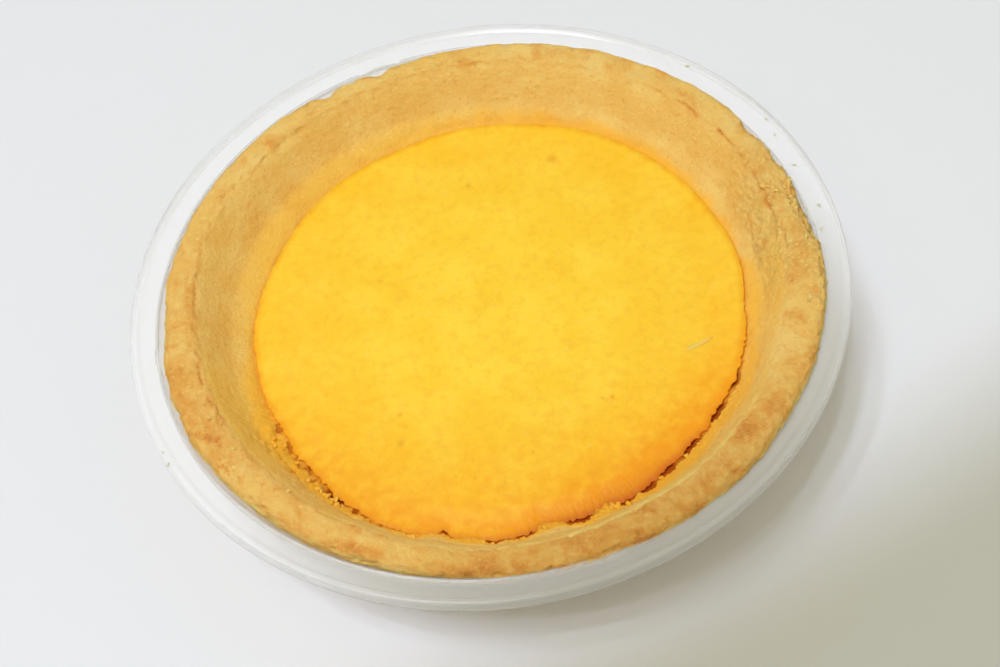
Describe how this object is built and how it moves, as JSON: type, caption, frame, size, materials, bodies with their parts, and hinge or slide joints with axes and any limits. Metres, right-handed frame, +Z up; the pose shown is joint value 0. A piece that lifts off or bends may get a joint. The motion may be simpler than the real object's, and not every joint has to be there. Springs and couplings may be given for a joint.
{
  "type": "cheese tart",
  "caption": "Round open cheese tart: thick pale shortcrust shell with a smooth, slightly domed yellow filling, sitting in a thin clear plastic cup with a flat flange and a rolled lip.",
  "frame": {"origin": "middle of the dish's flat underside", "axes": "+Z up, -Y towards the side nearest the viewer in the picture, +X to the viewer's right"},
  "size_m": [0.0874, 0.0874, 0.021],
  "materials": {
    "crust": "dry, grainy baked shortcrust, pale gold with browner patches on the rim",
    "filling": "smooth baked custard-like filling with a soft satin sheen",
    "dish": "clear, glossy, thin formed plastic"
  },
  "bodies": {
    "root": {"crust": "crust", "filling": "filling", "dish": "dish"}
  },
  "joints": []
}
